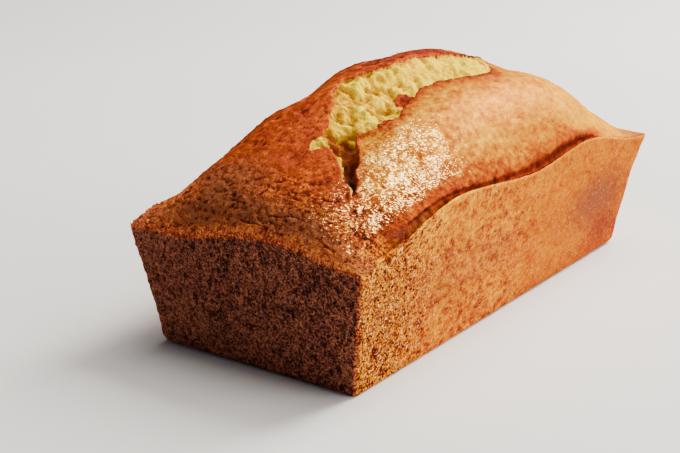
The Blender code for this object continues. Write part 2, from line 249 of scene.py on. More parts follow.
# Spans over which a part of the shading eases in: where it starts and how long it is, in metres. They
# run along x, along y where the name ends in _Y, and in from the rim where it ends in _IN. A negative
# length runs towards the near end or the near side.
FAR_PART, FAR_RIM, FAR_FOOT = (0.052, 0.02), (0.085, 0.02), (0.09, 0.02)
FAR_LEDGE, FAR_LEDGE_Y = (0.095, 0.02), (0.02, -0.02)
FLANK_PART, FLANK_FULL, FLANK_SHADE = (-0.122, 0.02), (-0.108, 0.02), (-0.03, 0.03)
FRONT_TONE_PART, FRONT_PART, FRONT_RELIEF = (-0.09, -0.02), (-0.095, -0.02), (-0.085, -0.02)
FLAP_PART, FLAP_UP = (-0.03, 0.02), (0.004, 0.004)
BACK_PART, BACK_EASE = (0.035, 0.02), 0.022
BACK_CORNER, BACK_CORNER_Y, DARK_CORNER_Y = (-0.098, -0.016), (0.022, 0.02), (0.046, 0.01)
SIDE_LEDGE_IN, END_LEDGE_IN, SHADED_Y = (0.0015, 0.002), (0.0004, 0.0016), (-0.056, 0.008)
LIT_CORNER, LEDGE_PART = (-0.118, 0.012), (-0.1, 0.03)
CREASE_START, CREASE_END, CREASE_IN = (-0.106, 0.014), (0.092, -0.02), (0.0016, 0.0008)
CREASE_NEAR, CREASE_CORNER, CREASE_SHADE_END = (-0.06, -0.02), (-0.087, -0.008), (0.062, -0.02)
SHELF_PART = (-0.094, 0.008)
SCORCH_PART, GLOW_END = (-0.062, 0.012), (0.035, -0.02)
GLOSS_IN, SPARK_IN = (0.0085, 0.01), (0.0064, 0.004)
SPARK_PART, SPARK_Y = (-0.01, -0.048), (-0.016, -0.016)
NEAR_CORNER, NEAR_CORNER_Y = (-0.1, -0.008), (-0.028, -0.014)
GREY_PART, GREY_Y = (-0.088, -0.02), (-0.012, 0.03)
FRONT_END, FINE_PART, SOFT_PART = (-0.118, 0.024), (-0.07, 0.06), (-0.02, 0.05)
DARK_PART, DARK_STRIP_PART, DARKEST_PART = (-0.062, -0.003), (-0.068, -0.01), (-0.076, -0.01)
WALL_COARSE, WALL_GRAIN_END = (-0.112, 0.06), (-0.02, 0.05)
WALL_MOTTLE_END, WALL_FOOT_END = (-0.03, 0.07), (-0.06, 0.08)

# Reaches and borders of the shading
FLANK_TOP, FLANK_OVERLAP, FLANK_EASE, FAR_WIDENING = -0.012, 0.004, 0.012, 0.034
TORN_TIP, LOWER_TORN_REACH, RAISED_TORN_REACH = 0.004, 0.0026, 0.004
SCORCH_REACH, GLOW_REACH = 0.0035, 0.0017
PATCH_WAVE, PATCH_WANDER = 0.0035, 0.35

# What each vertex tells the material
MASKS = (
    "tone", "speckle", "mottle", "dusk", "top", "side", "end", "rim", "flank", "groove", "shelf",
    "gloss", "spark", "crumb", "deep", "torn", "crack", "hollow",
)


def eased(share):
    share = min(max(share, 0.0), 1.0)
    return share * share * (3 - 2 * share)


def step(value, start, length):
    """0 up to a start and 1 a length beyond it. A negative length runs the other way."""
    return eased((value - start) / length)


def mixed(first, second, share):
    return first + (second - first) * share


def between(stations, place, ease=True):
    """The value at a place between stations: eased from each to the next, or in straight lines."""
    if place <= stations[0][0]:
        return stations[0][1]
    for (start, first), (end, last) in zip(stations, stations[1:]):
        if place <= end:
            share = (place - start) / (end - start)
            return mixed(first, last, eased(share) if ease else share)
    return stations[-1][1]


def fade_out(distance, reach):
    return math.exp(-((distance / reach) ** 2))


def wander(place, waves, seed):
    """Smooth uneven noise, as the sum of some waves of a wavelength and a height."""
    return sum(
        height * noise.noise(place / wavelength + Vector((seed, 11.3 * index, 4.1)))
        for index, (wavelength, height) in enumerate(waves)
    )


def crowded(share, crowding):
    """Moves a place from -1 to 1 so that rows stand closer near the edges."""
    inward = 1 - abs(share)
    return math.copysign(1 - inward * (crowding + (1 - crowding) * inward), share)


def rim_rise(s, t):
    """Rise of the rim over the corners, blended from all four walls. s and t run from -1 to 1."""
    sides = mixed(between(NEAR_SIDE_RISE, s), between(FAR_SIDE_RISE, s), (1 + t) / 2)
    return sides + mixed(between(NEAR_END_RISE, t), between(FAR_END_RISE, t), (1 + s) / 2)


def half_sizes(height):
    return BASE_HALF_LENGTH + WALL_LEAN * height, BASE_HALF_WIDTH + WALL_LEAN * height


def plan_place(s, t, height, inset, top):
    """x and y of a place in the loaf's outline at a height, with rounded upright corners and ears."""
    half_length, half_width = half_sizes(height)
    side_x, side_y = math.copysign(1, s), math.copysign(1, t)
    base_radius, rim_radius, flare, _ = CORNERS[(side_x, side_y)]
    radius = mixed(base_radius, rim_radius, eased(height / top))
    from_corner = math.hypot((1 - abs(s)) * half_length, (1 - abs(t)) * half_width)
    ear = flare * fade_out(from_corner, EAR_REACH) * eased((height - top + EAR_HEIGHT) / EAR_HEIGHT)
    half_length += ear - inset
    half_width += ear - inset
    over_x = abs(s) * half_length - (half_length - radius)
    over_y = abs(t) * half_width - (half_width - radius)
    if over_x > 0 and over_y > 0:
        pull = max(over_x, over_y) / math.hypot(over_x, over_y)
        over_x, over_y = over_x * pull, over_y * pull
    return side_x * (half_length - radius + over_x), side_y * (half_width - radius + over_y)


def base_fillet(s, t):
    """Fillet under the walls, blended from the four corners."""
    near = mixed(CORNERS[(-1, -1)][3], CORNERS[(-1, 1)][3], (1 + t) / 2)
    far = mixed(CORNERS[(1, -1)][3], CORNERS[(1, 1)][3], (1 + t) / 2)
    return mixed(near, far, (1 + s) / 2)


def dome_height(x, y, halves):
    """Height over the rim of the dome before it burst."""
    middle_x, middle_y = DOME_MIDDLE
    half_length, half_width = halves
    if x < middle_x:
        share_x = (middle_x - x) / (half_length + middle_x)
        fullness, softness = NEAR_FULLNESS, NEAR_SOFTNESS
    else:
        share_x = (x - middle_x) / (half_length - middle_x)
        fullness, softness = FAR_FULLNESS, FAR_SOFTNESS
    share_y = abs(y - middle_y) / (half_width - math.copysign(1, y - middle_y) * middle_y)
    along = max(0.0, 1 - share_x**fullness) ** softness
    across = max(0.0, 1 - share_y**SIDE_FULLNESS) ** SIDE_SOFTNESS
    lumps = sum(h * fade_out(math.hypot(x - cx, y - cy), reach) for cx, cy, reach, h in LUMPS)
    return (DOME_RISE + DOME_TILT * math.tanh(y / TILT_REACH)) * along * across + lumps


def crease(s, t, halves):
    """Depth of the crease that runs inside the rim, and how far the dome's foot bulges over it."""
    from_end, from_side = (1 - abs(s)) * halves[0], (1 - abs(t)) * halves[1]
    side = between(NEAR_SIDE_CREASE if t < 0 else FAR_SIDE_CREASE, s)
    end = between(END_CREASE, t) * fade_out(from_end - END_CREASE_INSET, END_CREASE_WIDTH)
    bulge = FOOT_BULGE * side * fade_out(from_side - FOOT_INSET, FOOT_WIDTH)
    return side * fade_out(from_side - CREASE_INSET, CREASE_WIDTH) + end, bulge


def burst_edges(x):
    """y of the lower and of the raised edge."""
    fade = eased((x - BURST_START) / TIP_LENGTH) * eased((BURST_END - x) / TIP_LENGTH)
    lower = between(LOWER_EDGE, x, False) + fade * wander(Vector((x, 0, 0)), JAG_HEIGHTS, 7.0)
    raised = between(RAISED_EDGE, x, False) + fade * wander(Vector((x, 0, 0)), JAG_HEIGHTS, 1.0)
    return lower, max(raised, lower)


def crust_height(x, y, edges, halves):
    """The dome with the lift of the raised flap and the small lip of the lower one."""
    lower, raised = edges
    height = dome_height(x, y, halves)
    if y >= raised:
        return height + between(FLAP_LIFT, x) * math.exp(-(((y - raised) / FLAP_REACH) ** FLAP_CURL))
    span = eased((x - BURST_START) / FLAP_REACH) * eased((BURST_END - x) / FLAP_REACH)
    return height + LOWER_LIP_LIFT * span * math.exp(-max(lower - y, 0.0) / LOWER_LIP_REACH)


def burst_shape(share, x):
    """Depth across the burst, from 0 to 1: a steep wall at the lower edge, then a slope up."""
    wall = between(WALL_SHARE, x)
    if share < wall:
        return math.sin(math.pi / 2 * share / wall) ** WALL_BOW
    return 1 - eased((share - wall) / (1 - wall)) ** SLOPE_BOW


def torn_edges(x):
    """y of the burst's lower and raised edges with their finest wander."""
    lower, raised = burst_edges(x)
    if BURST_START < x < BURST_END:
        lower += wander(Vector((x, 2, 0)), TORN_WAVES, 5.0)
        raised += wander(Vector((x, 5, 0)), TORN_WAVES, 5.0)
    return lower, max(raised, lower)


def crowd_near(share):
    """Moves a place from -1 to 1 so that rows stand closer at the near end."""
    rise = (share + 1) / 2
    return 2 * rise * (1 - NEAR_CROWDING + NEAR_CROWDING * rise) - 1


def snapped(x, y):
    """Moves a vertex that is close to a torn edge onto it."""
    if BURST_START < x < BURST_END:
        for edge in torn_edges(x):
            if abs(y - edge) < SNAP_REACH:
                return edge
    return y


def patch(x, y, place):
    """1 inside an uneven oval around a place and 0 outside it."""
    middle_x, middle_y, along, across = place
    away = math.hypot((x - middle_x) / along, (y - middle_y) / across)
    return eased((1.2 - away + PATCH_WANDER * noise.noise(Vector((x, y, 0)) / PATCH_WAVE)) / 0.4)


def burst_masks(x, y):
    """How much a place of the top is crumb, how dark and deep it is, and how near to a torn edge."""
    lower, raised = torn_edges(x)
    along = step(x, BURST_START, TORN_TIP) * step(x, BURST_END, -TORN_TIP)
    near_edge = min(abs(y - lower) / LOWER_TORN_REACH, abs(y - raised) / RAISED_TORN_REACH)
    torn = along * math.exp(-near_edge)
    tongue = patch(x, y, CRUMB_TONGUE)
    if not (BURST_START < x < BURST_END and lower < y < raised):
        return {"torn": torn * (1 - tongue), "crumb": tongue}
    share = (y - lower) / (raised - lower)
    strip = 0.48 + 0.18 * step(x, *DARK_STRIP_PART)
    dark = step(x, *DARK_PART) * (1 - step(share, strip, 0.1))
    island = max(patch(x, y, place) for place in CRUST_ISLANDS)
    return {
        "torn": torn,
        "crumb": max(eased(min(y - lower, raised - y) / 0.0008) * (1 - island), tongue),
        # How dark the burst's deep end is: partly toasted crust and partly painted shade in the fissure; the
        # brown patch is the crumb's own colour.
        "deep": max(dark * (0.62 + 0.38 * step(x, *DARKEST_PART)), 0.48 * patch(x, y, BROWN_PATCH)),
    }


def flank_share(x, y, lower, far):
    """How far a place of the top is on the near flank, whose border widens at the far end."""
    border = min(lower, FLANK_TOP) + FLANK_OVERLAP + FAR_WIDENING * far
    return eased((border - y) / (FLANK_EASE + FAR_WIDENING * far)) * step(x, *FLANK_PART)


def back_share(x, y):
    """How far a place of the top has turned away to the back, over an uneven ridge."""
    turn = y - between(RIDGE, x) - RIDGE_MARGIN
    turn += RIDGE_WANDER * noise.noise(Vector((x, y, 0)) / RIDGE_WAVE)
    return (0.8 + 0.2 * step(x, *BACK_PART)) * eased(turn / BACK_EASE)


def ledge_shares(x, y, from_side, from_end):
    """How far a place is on the rim of an end or the far part, and on the ledge over the near side."""
    corner = step(y, *BACK_CORNER_Y) * step(x, *BACK_CORNER)
    ledge = 1 - step(from_side, *SIDE_LEDGE_IN)
    end_ledge = max(1 - step(from_end, *END_LEDGE_IN), corner)
    shaded = step(y, *SHADED_Y)
    rim = max(end_ledge * (shaded if x < 0 else 1), ledge * step(x, *FAR_RIM))
    lit_corner = fade_out(from_side - 0.002, 0.007) * (1 - step(x, *LIT_CORNER))
    return rim, max(ledge, end_ledge * (1 - shaded), lit_corner)


def crease_shade(x, over_line, from_side, rim, tone):
    """By the near side's crease: the tone, how far a place is in the crease, its shelf and its dusk. The
    dark line, the darker band over it and the darker crack in it are partly caramelised crust and partly
    painted shade; the shelf under the line grows lighter towards the rim as painted light against the mesh's
    own shade there.
    """
    span = step(x, *CREASE_START) * step(x, *CREASE_END) * (1 - rim)
    near = step(x, *CREASE_NEAR)
    groove = 1 - step(over_line, 0.0008, between(FRINGE_REACH, x))
    groove = groove * span * step(from_side, *CREASE_IN)
    below = 1 - eased(over_line / 0.0012 + 0.5)
    tone -= 0.23 * (1 - step(over_line, 0.002, 0.013)) * span * step(x, *CREASE_SHADE_END)
    groove_tone = GROOVE_TONE - 0.04 * near + (SHELF_TONE - GROOVE_TONE) * below
    groove_tone += 0.1 * near * step(over_line, -0.0006, -0.0015)
    groove_tone += 0.22 * near * step(over_line, -0.0022, -0.0008)
    groove_tone -= 0.2 * fade_out(abs(over_line), 0.0006) * fade_out(abs(x + 0.079) - 0.004, 0.009)
    groove_tone -= 0.12 * step(x, *CREASE_CORNER)
    shelf = min(over_line / between(CREASE_LINE_WIDTH, x), OFF_LINE)
    shelf = mixed(shelf, OFF_LINE, 1 - span * step(x, *SHELF_PART))
    return mixed(tone, groove_tone, groove), groove, shelf, 0.42 * near * below * groove


def edge_change(x, y, lower, raised):
    """Change of the tone by the burst: scorched under its lower edge, pale over its raised one."""
    if y <= lower:
        scorch = math.exp(-(lower - y) / SCORCH_REACH) * step(x, *SCORCH_PART)
        return -0.2 * (scorch * step(x, BURST_END, -0.02))
    if y >= raised:
        glow = math.exp(-(y - raised) / GLOW_REACH) * step(x, BURST_START, 0.03)
        return 0.28 * glow * step(x, *GLOW_END)
    return 0.0


def crust_shade(x, y, s, t, halves, above_rim):
    """Tone, coarseness, gloss and kind of a place of the top's crust."""
    lower, raised = torn_edges(x)
    from_side, from_end = (1 - abs(t)) * halves[1], (1 - abs(s)) * halves[0]
    far = step(x, *FAR_PART)
    flank = flank_share(x, y, lower, far)
    tone = mixed(DOME_TONE, FRONT_TONE, step(x, *FRONT_TONE_PART))
    tone = mixed(tone, between(FLANK_TONES, x), flank)
    tone -= 0.06 * flank * fade_out(lower - y - 0.004, 0.018) * step(x, *FLANK_SHADE) * (1 - far)
    if lower < y < raised:
        tone = ISLAND_TONE
    foot = fade_out(from_end - 0.006, 0.006) * (1 - flank) * (1 if x < 0 else 0)
    tone = mixed(tone, FOOT_TONE, foot)
    lower_flap = step(y - lower, *FLAP_UP) * step(x, *FLAP_PART) * (1 - flank)
    tone = mixed(tone, FLAP_TONE, lower_flap)
    back = back_share(x, y) * (1 - flank)
    tone = mixed(tone, BACK_TONE + 0.1 * far, back)
    rim, side = ledge_shares(x, y, from_side, from_end)
    tone = mixed(tone, mixed(RIM_TONE, CORNER_TONE, step(y, *DARK_CORNER_Y)), rim)
    ledge_tone = mixed(NEAR_LEDGE_TONE, LEDGE_TONE, step(x, *LEDGE_PART))
    tone = mixed(tone, ledge_tone, side * (1 - rim))
    groove, shelf, shelf_dusk = 0.0, OFF_LINE, 0.0
    if y < 0 and from_side < CREASE_REACH:
        over_line = above_rim - between(CREASE_LINE_RISE, x)
        tone, groove, shelf, shelf_dusk = crease_shade(x, over_line, from_side, rim, tone)
    tone += edge_change(x, y, lower, raised)
    far_ledge = step(x, *FAR_LEDGE) * rim * step(y, *FAR_LEDGE_Y)
    far_foot = fade_out(from_end - 0.004, 0.009) * step(x, *FAR_FOOT) * (1 - rim) * flank
    inside = 1 - max(rim, side)
    near_corner = step(y, *NEAR_CORNER_Y) * step(x, *NEAR_CORNER) * inside
    tone += 0.03 * near_corner - 0.15 * far_ledge - 0.12 * far_foot
    front = step(x, *FRONT_PART) * (1 - max(rim, flank)) * (1 - near_corner)
    grey = step(x, *GREY_PART) * step(y, *GREY_Y) * (1 - rim)
    lit = step(y, *SPARK_Y) * (0.74 + 0.26 * step(x, -0.112, 0.016)) * step(x, -0.122, 0.006)
    coarse = (0.7 + 0.5 * flank) * step(x, *FRONT_END) * (1 - 0.7 * near_corner)
    flap_mottle = 0.8 * lower_flap * (1 - min(2 * back, 1))
    return {
        "top": 1.0,
        "tone": tone,
        # The dusk of the foot, the grey front-left and the front is a painted shade tint.
        "dusk": 0.6 * max(foot, grey) + 0.2 * front + 0.65 * far_ledge + 0.35 * far_foot + shelf_dusk,
        "speckle": 1.0 + 0.5 * flank - coarse - 0.2 * step(x, *FINE_PART),
        "mottle": 1.4 - 0.4 * step(x, *SOFT_PART) - 0.3 * far + flap_mottle,
        "shelf": shelf,
        "rim": rim,
        "side": side,
        "flank": flank * (0.3 + 0.7 * step(x, *FLANK_FULL)) + back,
        "groove": groove,
        "gloss": flank * step(from_side, *GLOSS_IN) * inside * fade_out(x - 0.02, 0.075),
        "spark": lit * step(from_side, *SPARK_IN) * inside * step(x, *SPARK_PART),
    }


def near_end_shade(place, from_edge, rim):
    # Lighter at the foot, as painted bounce light from the floor.
    tone = NEAR_END_TONE + 0.05 * fade_out(from_edge, 0.012) + 0.1 * fade_out(place.z, 0.016)
    return {
        "tone": tone + 0.06 * step(place.y, 0.01, 0.03),
        "speckle": 1.2 - 0.3 * eased(place.y / 0.05),
        "mottle": 0.8,
        "end": 1.0,
        "rim": rim,
    }


def near_side_shade(place, top, edge):
    x, tone, dusk = place.x, SIDE_TONE, 0.0
    for middle, height, reach, rise, change, tint in SIDE_PATCHES:
        part = fade_out(math.hypot((x - middle) / reach, (place.z - height) / rise), 1.0)
        tone, dusk = tone + change * part, dusk + tint * part
    foot = 1 - eased(place.z / 0.012)
    # Near the corner the crease's brown shelf rounds onto the wall's top in the crease's colours, partly
    # painted shade.
    below_shelf = top - place.z - between(SHELF_DROP, x)
    shelf = eased(-below_shelf / 0.0008)
    # A thin lighter line along the wall's top edge: a painted highlight.
    tone += (0.13 + 0.26 * fade_out(abs(x + 0.078) - 0.014, 0.014)) * fade_out(below_shelf, 0.0009)
    tone += 0.1 * edge - 0.06 * foot * step(x, *WALL_FOOT_END)
    return {
        "tone": mixed(tone, SHELF_TONE, shelf),
        "speckle": 1.4 - 1.13 * step(x, *WALL_COARSE) - 0.12 * step(x, *WALL_GRAIN_END),
        "mottle": 1.2 - 0.8 * step(x, *WALL_MOTTLE_END),
        "dusk": dusk,
        "groove": shelf,
        "side": 1 - shelf,
    }


def wall_shade(place, s, t, top, on_end):
    """Tone, coarseness and kind of a place of a wall."""
    from_edge = (1 - abs(t)) * RIM_WIDTH / 2 if on_end else (1 - abs(s)) * RIM_LENGTH / 2
    from_top = top - place.z
    edge = fade_out(from_edge, 0.0014 if on_end else 0.0024)
    if on_end and place.x < 0:
        return near_end_shade(place, from_edge, max(fade_out(from_top, 0.001), edge))
    if on_end:
        rim = 0.3 * fade_out(from_top, 0.001)
        return {"tone": FAR_END_TONE, "speckle": 0.12, "mottle": 0.9, "side": 1.0, "rim": rim}
    if place.y < 0:
        return near_side_shade(place, top, edge)
    return {
        "tone": SIDE_TONE + 0.1 * fade_out(from_top, 0.0014),
        "speckle": 0.9 - 0.6 * step(place.x, *WALL_COARSE),
        "mottle": 0.7,
        # A painted shade tint on the back wall.
        "dusk": 0.3,
        "side": 0.5,
    }


def torn_height(x, y, halves):
    """Height over the rim of the burst dome."""
    edges = torn_edges(x)
    lower, raised = edges
    if not (BURST_START < x < BURST_END and lower < y < raised):
        return crust_height(x, y, edges, halves)
    share = (y - lower) / (raised - lower)
    low_side = crust_height(x, lower, edges, halves)
    high_side = crust_height(x, raised, edges, halves)
    openness = min(1.0, (raised - lower) / NARROW_BURST)
    depth = CRUST_THICKNESS * openness + between(BURST_DEPTH, x) * burst_shape(share, x)
    crumb = openness * wander(Vector((x, y, 0)), CRUMB_LUMPS, 3.0)
    return mixed(low_side, high_side, share) - depth + crumb


def top_vertex(s, t):
    """The place and the masks of a vertex of the top."""
    rise = rim_rise(s, t)
    rim = CORNER_HEIGHT + rise
    halves = half_sizes(rim)
    x, y = plan_place(s, t, rim, 0.0, rim)
    y = snapped(x, y)
    carry = max(abs(s) ** RIM_CARRY_ALONG, abs(t) ** RIM_CARRY_ACROSS)
    groove, bulge = crease(s, t, halves)
    height = CORNER_HEIGHT + rise * carry + torn_height(x, y, halves) - groove
    inward = min((1 - abs(s)) * halves[0], (1 - abs(t)) * halves[1])
    height += eased(inward / RIM_FADE) * wander(Vector((x, y, height)), SWELLS, 0.0)
    masks = {**burst_masks(x, y), **crust_shade(x, y, s, t, halves, height - rim)}
    return Vector((x, y + math.copysign(bulge, t), height)), masks


def wall_vertex(s, t, share, on_end):
    """The place and the masks of a vertex of a wall. share counts up from the underside."""
    top, fillet = CORNER_HEIGHT + rim_rise(s, t), base_fillet(s, t)
    if share < FILLET_SHARE:
        turn = math.pi / 2 * share / FILLET_SHARE
        height = fillet * (1 - math.cos(turn))
        inset = fillet * (1 - math.sin(turn))
    else:
        height = fillet + (top - fillet) * (share - FILLET_SHARE) / (1 - FILLET_SHARE)
        inset = 0.0
    x, y = plan_place(s, t, height, inset, top)
    fade = eased(height / BASE_FADE) * eased((top - height) / RIM_FADE)
    inset -= fade * wander(Vector((x, y, height)), SWELLS, 6.0)
    place = Vector((*plan_place(s, t, height, inset, top), height))
    return place, wall_shade(place, s, t, top, on_end)


def under_vertex(s, t):
    x, y = plan_place(s, t, 0.0, base_fillet(s, t), CORNER_HEIGHT)
    masks = {"side": 1.0, "tone": SIDE_TONE, "speckle": 0.5, "mottle": 1.0}
    return Vector((x, y, 0.0)), masks


def crack_depth(place):
    """Depth of the cracks at a place, and how far into one it is from 0 to 1."""
    deepest, share = 0.0, 0.0
    bend = Vector(wander(place, ((CRACK_BREAKS, CRACK_BEND),), seed) for seed in (81.0, 82.0, 83.0))
    for points, depth, width in CRACKS:
        start, end = Vector(points[0]), Vector(points[-1])
        if (place - (start + end) / 2).length > (end - start).length / 2 + CRACK_MARGIN:
            continue
        nearest = 1.0
        for first, last in zip(points, points[1:]):
            first, last = Vector(first), Vector(last)
            run = last - first
            along = min(max((place + bend - first).dot(run) / run.dot(run), 0.0), 1.0)
            nearest = min(nearest, (place + bend - first - run * along).length)
        whole = eased(0.75 + 1.5 * noise.noise(place / CRACK_BREAKS))
        part = fade_out(nearest, width) * whole
        deepest, share = max(deepest, depth * part), max(share, part)
    return deepest, share


def pit_depth(place):
    """Depth of the single pits at a place, and how far into one it is from 0 to 1."""
    deepest, share = 0.0, 0.0
    for middle, radius, depth in PITS:
        distance = (place - Vector(middle)).length
        if distance < 3 * radius:
            part = fade_out(distance, radius)
            deepest, share = max(deepest, depth * part), max(share, part)
    return deepest, share


def pocket(place, spacing, seed):
    """Depth from 0 to 1 in one uneven air pocket per cell of the spacing, of many sizes."""
    bent = place / spacing
    bent += 0.22 * noise.noise_vector(bent * 2.3)
    distances, points = noise.voronoi(bent + Vector((seed, 0, 0)))
    size = 0.14 + 0.3 * abs(noise.cell(points[0] * 9.1))
    return max(0.0, 1 - (distances[0] / size) ** 2)


def crackle(place, seed):
    """Small pillows between broken cracks: height from about -1 to 1, and 1 in a crack."""
    bend_x, bend_y = PILLOW_BENDS
    bent = place + Vector((wander(place, bend_x, seed), wander(place, bend_y, -seed), 0))
    pillows = Vector(along / size for along, size in zip(bent, PILLOW_SIZE))
    ridge = abs(noise.noise(pillows + Vector((seed, 0, 0))))
    gate = eased((noise.noise(place / 0.007 + Vector((0, seed, 0))) - 0.02) / 0.3)
    crack = fade_out(ridge, 0.09) * gate
    return min(ridge, 0.3) / 0.3 - 0.5 - 1.2 * crack, crack


def wall_relief(place, fine):
    """Height of a wall's skin, and how far into a pit it is. Fine is 1 where its mesh is close."""
    place = Vector((place.x * 0.62, place.y, place.z))
    height = wander(place, WALL_WAVES, 21.0) + fine * wander(place, WALL_GRAIN, 25.0)
    tall = Vector((place.x, place.y, place.z * 0.6))
    small, large = pocket(tall, SMALL_POCKETS, 3.0), pocket(tall, LARGE_POCKETS, 8.0)
    return height - (SMALL_DEPTH * small + LARGE_DEPTH * large) * fine, max(0.7 * small, large) * fine


def dome_relief(place, front, flank):
    """Height of the top's skin, and how far into a crack or a pit it is."""
    height = wander(place, TOP_WAVES, 33.0)
    hole = pocket(place, TOP_POCKETS, 5.0)
    pillow, crack = crackle(place, 17.0)
    height += PILLOW_HEIGHT * front * pillow - TOP_DEPTH * hole * (1 - 0.5 * flank)
    return height, max(front * crack, 0.5 * hole * (1 - flank))


def crumb_relief(place):
    """Height of the torn crumb, in soft lumps with gaps between."""
    coarse = 1 - 0.6 * step(place.x, *CRUMB_PART)
    height = -CRUMB_SINK * coarse
    for index, (size, swell, seed) in enumerate(CRUMB_SWELLS):
        lump = abs(noise.noise(place / size + Vector((seed, 0, 0)))) - 0.15
        height += swell * (1 if index else coarse) * lump
    return height - CRUMB_DEPTH * coarse * pocket(place, CRUMB_POCKETS, 4.0)


def split_edges(mesh, axis, rows):
    """Cuts every edge that runs along an axis into that many rows."""
    edges = [e for e in mesh.edges if abs((e.verts[0].co - e.verts[1].co)[axis]) > 1 - FLUSH]
    bmesh.ops.subdivide_edges(mesh, edges=edges, cuts=rows - 1, use_grid_fill=True)


def halve(mesh, faces):
    """Cuts faces into four."""
    edges = {edge for face in faces for edge in face.edges}
    bmesh.ops.subdivide_edges(mesh, edges=list(edges), cuts=1, use_grid_fill=True)


def plan_of(co):
    """Rough x and y of a vertex of the block's top."""
    x = crowded(crowd_near(co.x), CROWDING_ALONG) * RIM_LENGTH / 2
    return x, crowded(co.y, CROWDING_ACROSS) * RIM_WIDTH / 2


def wants_detail(face):
    """True for a face of the near end, or of the top in the burst, at the front or on the near flank."""
    middle = face.calc_center_median()
    if middle.x < -FLUSH:
        return True
    if middle.z < FLUSH:
        return False
    x, y = plan_of(middle)
    lower, raised = burst_edges(x)
    if x < FRONT_REACH or (x < FLANK_REACH and y < lower):
        return True
    along = BURST_START - BURST_MARGIN < x < BURST_END + BURST_MARGIN
    return along and lower - BURST_MARGIN < y < raised + BURST_MARGIN


def shape_block(mesh):
    """Moves every vertex of the gridded cube to its place on the loaf and notes its masks."""
    layers = {name: mesh.verts.layers.float.new(name) for name in MASKS}
    for vert in mesh.verts:
        s = crowded(crowd_near(vert.co.x), CROWDING_ALONG)
        t = crowded(vert.co.y, CROWDING_ACROSS)
        if max(abs(vert.co.x), abs(vert.co.y)) > FLUSH:
            co, masks = wall_vertex(s, t, (vert.co.z + 1) / 2, abs(vert.co.x) > FLUSH)
        elif vert.co.z > 0:
            co, masks = top_vertex(s, t)
        else:
            co, masks = under_vertex(s, t)
        vert.co = co
        for name, value in {"shelf": OFF_LINE, **masks}.items():
            vert[layers[name]] = value
    return layers


def skin_relief(vert, layers):
    """Height of the skin at a vertex, and how far into a crack or a pit it is."""
    place, crumb = vert.co, vert[layers["crumb"]]
    if vert[layers["top"]] < 0.5:
        fine = max(vert[layers["end"]], 1 - 0.85 * step(place.x, -0.112, 0.05))
        height, crack = wall_relief(place, fine)
        return height * eased(place.z / 0.003), crack
    front = step(place.x, *FRONT_RELIEF) * (1 - step(place.y, -0.028, -0.012))
    height, crack = dome_relief(place, front, vert[layers["flank"]])
    if crumb > 0:
        lump = crumb_relief(place)
        # How deep a place lies among the crumb's lumps; the material darkens it there as painted shade.
        vert[layers["hollow"]] = min(max(0.35 - lump / 0.0034, 0.0), 1.0)
        height = mixed(height, lump, crumb)
    return height, crack * (1 - crumb)


def roughen(mesh, layers):
    """Raises and lowers the skin along its normals: pits, pebbles, cracks and torn crumb."""
    mesh.normal_update()
    moves = []
    for vert in mesh.verts:
        if vert.co.z < ON_FLOOR:
            moves.append(Vector())
            continue
        height, crack = skin_relief(vert, layers)
        depth, share = crack_depth(vert.co)
        sink, hole = pit_depth(vert.co)
        # How far a vertex lies in a crack or pit; the material darkens it there as painted shade.
        vert[layers["crack"]] = max(crack, share, hole)
        moves.append(vert.normal * (height - depth - sink))
    for vert, move in zip(mesh.verts, moves):
        vert.co += move
        vert.co.z = max(vert.co.z, 0.0)


def add_mesh(name, mesh):
    """Puts a finished mesh into the scene as an object."""
    data = bpy.data.meshes.new(name)
    mesh.to_mesh(data)
    mesh.free()
    piece = bpy.data.objects.new(name, data)
    bpy.context.scene.collection.objects.link(piece)
    return piece


def build_loaf():
    mesh = bmesh.new()
    bmesh.ops.create_cube(mesh, size=2)
    for axis, rows in enumerate(ROWS):
        split_edges(mesh, axis, rows)
    halve(mesh, [f for f in mesh.faces if f.calc_center_median().z > -FLUSH])
    halve(mesh, [f for f in mesh.faces if wants_detail(f)])
    layers = shape_block(mesh)
    roughen(mesh, layers)
    bmesh.ops.recalc_face_normals(mesh, faces=mesh.faces)
    loaf = add_mesh("crust", mesh)
    loaf.data.shade_smooth()
    return loaf


class Value:
    """A socket of a material, so that its maths reads as plain sums."""

    def __init__(self, finish, socket):
        self.finish, self.socket = finish, socket

    def _math(self, operation, first, second):
        return self.finish.node("Math", {"operation": operation}, {0: first, 1: second})

    def __add__(self, other):
        return self._math("ADD", self, other)

    def __sub__(self, other):
        return self._math("SUBTRACT", self, other)

    def __rsub__(self, other):
        return self._math("SUBTRACT", other, self)

    def __mul__(self, other):
        return self._math("MULTIPLY", self, other)

    def __abs__(self):
        return self._math("ABSOLUTE", self, 0.0)

    __radd__ = __add__
    __rmul__ = __mul__


